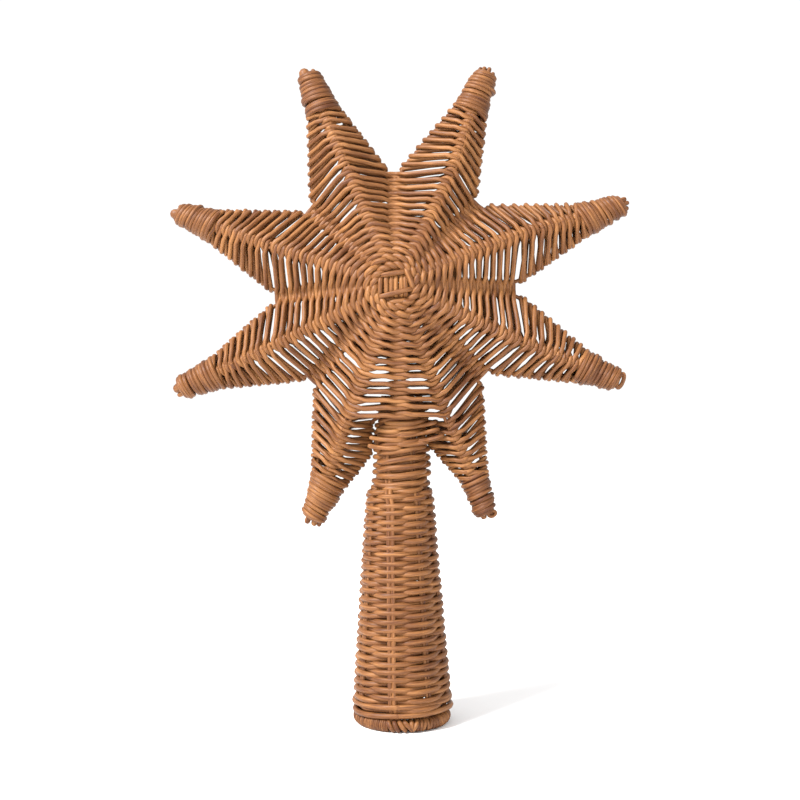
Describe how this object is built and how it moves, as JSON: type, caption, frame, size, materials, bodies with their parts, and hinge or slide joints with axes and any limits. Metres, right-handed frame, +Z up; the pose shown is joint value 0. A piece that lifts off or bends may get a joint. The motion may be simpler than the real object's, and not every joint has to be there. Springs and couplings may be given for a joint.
{
  "type": "rattan star tree topper",
  "caption": "Hollow woven rattan star with slim pointed arms, bound at the tips, on a tapered woven sleeve with a bound foot ring.",
  "frame": {"origin": "on the sleeve's axis, on the surface that the foot ring stands on", "axes": "+Z up along the sleeve, star in the XZ plane with its front towards -Y"},
  "size_m": [0.2318, 0.0592, 0.3304],
  "materials": {
    "star_weave": "round rattan core, honey brown, satin",
    "sleeve_weave": "round rattan core, honey brown, satin",
    "cane_binding": "thin rattan peel, honey brown, satin"
  },
  "bodies": {
    "root": {"star": "star_weave", "socket_tube": "sleeve_weave", "foot_border": "cane_binding", "tip_binding_1": "cane_binding", "tip_binding_2": "cane_binding", "tip_binding_3": "cane_binding", "tip_binding_4": "cane_binding", "tip_binding_5": "cane_binding", "tip_binding_6": "cane_binding", "tip_binding_7": "cane_binding", "tip_binding_8": "cane_binding"}
  },
  "joints": []
}
